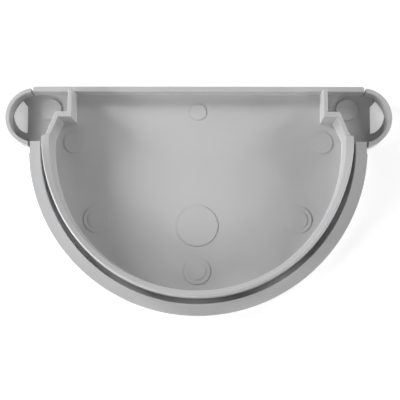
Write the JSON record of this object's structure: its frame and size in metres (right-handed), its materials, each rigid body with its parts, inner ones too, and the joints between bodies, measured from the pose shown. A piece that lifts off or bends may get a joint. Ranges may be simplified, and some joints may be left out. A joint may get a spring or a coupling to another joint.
{
  "type": "gutter end cap",
  "caption": "Half-round gutter end cap: flat end plate, low grooved rim, tall inner spigot stepped round the gutter's edges, and a notched bead socket on each side.",
  "frame": {"origin": "on the axis of the half round, at the flat outer face", "axes": "+X along the width, +Y up as installed, +Z from the outer face into the gutter; the cap lies on its outer face"},
  "size_m": [0.152, 0.0896, 0.0162],
  "materials": {
    "grey_pvc": "satin moulded"
  },
  "bodies": {
    "root": {"end_cap": "grey_pvc"}
  },
  "joints": []
}
